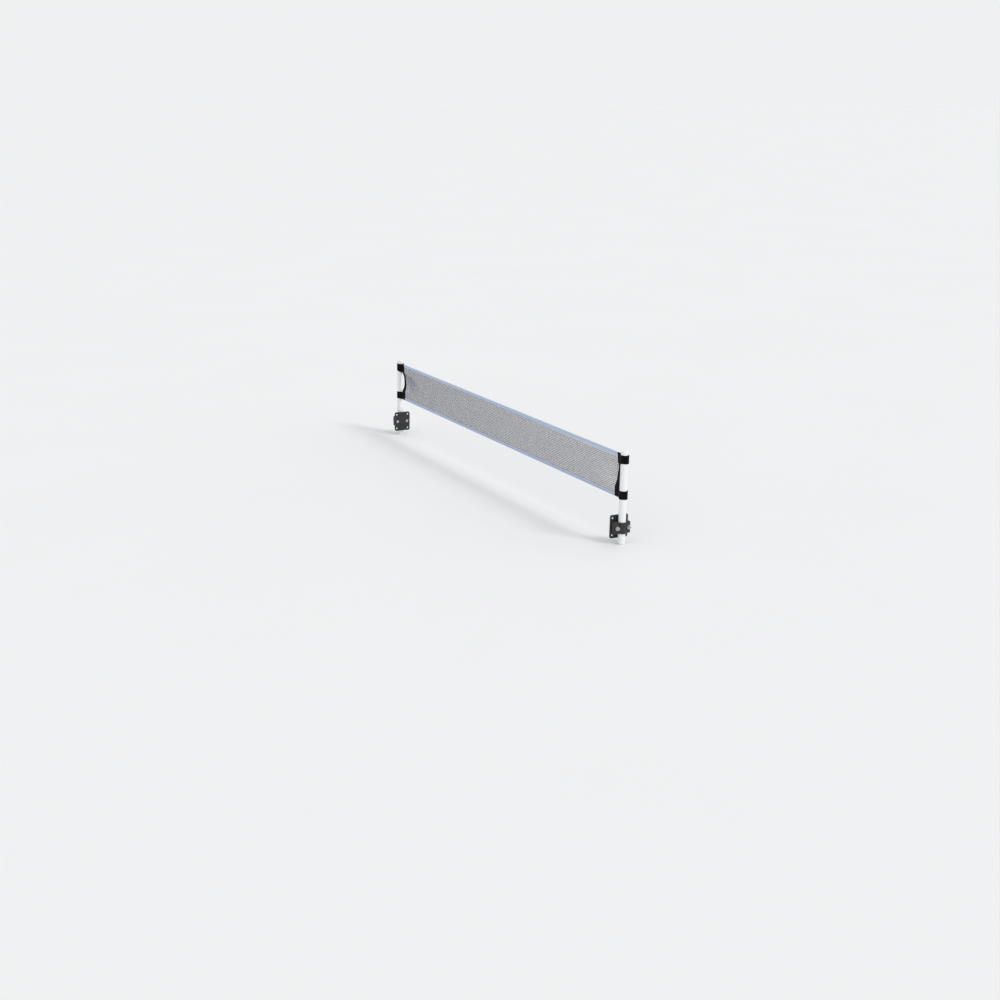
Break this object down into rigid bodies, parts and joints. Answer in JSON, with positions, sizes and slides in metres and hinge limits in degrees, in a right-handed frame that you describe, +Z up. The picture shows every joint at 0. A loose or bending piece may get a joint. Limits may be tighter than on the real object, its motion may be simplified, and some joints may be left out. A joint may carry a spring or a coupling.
{
  "type": "table tennis net clamp",
  "caption": "Table-tennis net on two round posts: dark mesh between pale tapes, black cloth ends with hook-and-loop straps, and a tube clamp at each post's foot.",
  "frame": {"origin": "middle of the net line at the playing surface, midway between the posts", "axes": "+X along the net to the right-hand end, +Y across it away from the player, +Z up"},
  "size_m": [1.593, 0.06, 0.2785],
  "materials": {
    "white_coat": "satin",
    "white_moulding": "satin",
    "dark_moulding": "matte",
    "zinc_steel": "satin",
    "black_cloth": "satin",
    "black_webbing": "matte",
    "hook_tape": "matte",
    "mesh_thread": "matte",
    "pale_tape": "matte",
    "white_cord": "matte"
  },
  "bodies": {
    "posts": {"clamp_screws": "zinc_steel", "clamp_washers": "zinc_steel", "clamp_nuts": "zinc_steel", "left_post_tube": "white_coat", "left_post_cap": "white_moulding", "left_foot_plug": "white_moulding", "left_clamp_base": "dark_moulding", "left_clamp_saddle": "dark_moulding", "right_post_tube": "white_coat", "right_post_cap": "white_moulding", "right_foot_plug": "white_moulding", "right_clamp_base": "dark_moulding", "right_clamp_saddle": "dark_moulding"},
    "net": {"net_mesh": "mesh_thread", "top_tape": "pale_tape", "bottom_tape": "pale_tape", "top_cord": "white_cord", "left_end_panel": "black_cloth", "left_upper_loop_strap": "black_webbing", "left_upper_back_strap": "black_webbing", "left_lower_loop_strap": "black_webbing", "left_lower_back_strap": "black_webbing", "right_end_panel": "black_cloth", "right_upper_loop_strap": "black_webbing", "right_upper_back_strap": "black_webbing", "right_lower_loop_strap": "black_webbing", "right_lower_back_strap": "black_webbing"},
    "left_upper_flap": {"left_upper_flap": "black_webbing", "left_upper_hook_pad": "hook_tape"},
    "left_lower_flap": {"left_lower_flap": "black_webbing", "left_lower_hook_pad": "hook_tape"},
    "right_upper_flap": {"right_upper_flap": "black_webbing", "right_upper_hook_pad": "hook_tape"},
    "right_lower_flap": {"right_lower_flap": "black_webbing", "right_lower_hook_pad": "hook_tape"}
  },
  "joints": [
    {"name": "net_lift", "type": "slide", "parent": "posts", "child": "net", "axis": [0, 0, 1], "range_m": [-0.015, 0.148]},
    {"name": "left_upper_flap_peel", "type": "hinge", "parent": "net", "child": "left_upper_flap", "pos_m": [-0.776, 0.01172, 0.139], "axis": [0, 0, -1], "range_deg": [0, 120]},
    {"name": "left_lower_flap_peel", "type": "hinge", "parent": "net", "child": "left_lower_flap", "pos_m": [-0.776, 0.01172, 0.033], "axis": [0, 0, -1], "range_deg": [0, 120]},
    {"name": "right_upper_flap_peel", "type": "hinge", "parent": "net", "child": "right_upper_flap", "pos_m": [0.776, 0.01172, 0.139], "axis": [0, 0, 1], "range_deg": [0, 120]},
    {"name": "right_lower_flap_peel", "type": "hinge", "parent": "net", "child": "right_lower_flap", "pos_m": [0.776, 0.01172, 0.033], "axis": [0, 0, 1], "range_deg": [0, 120]}
  ]
}
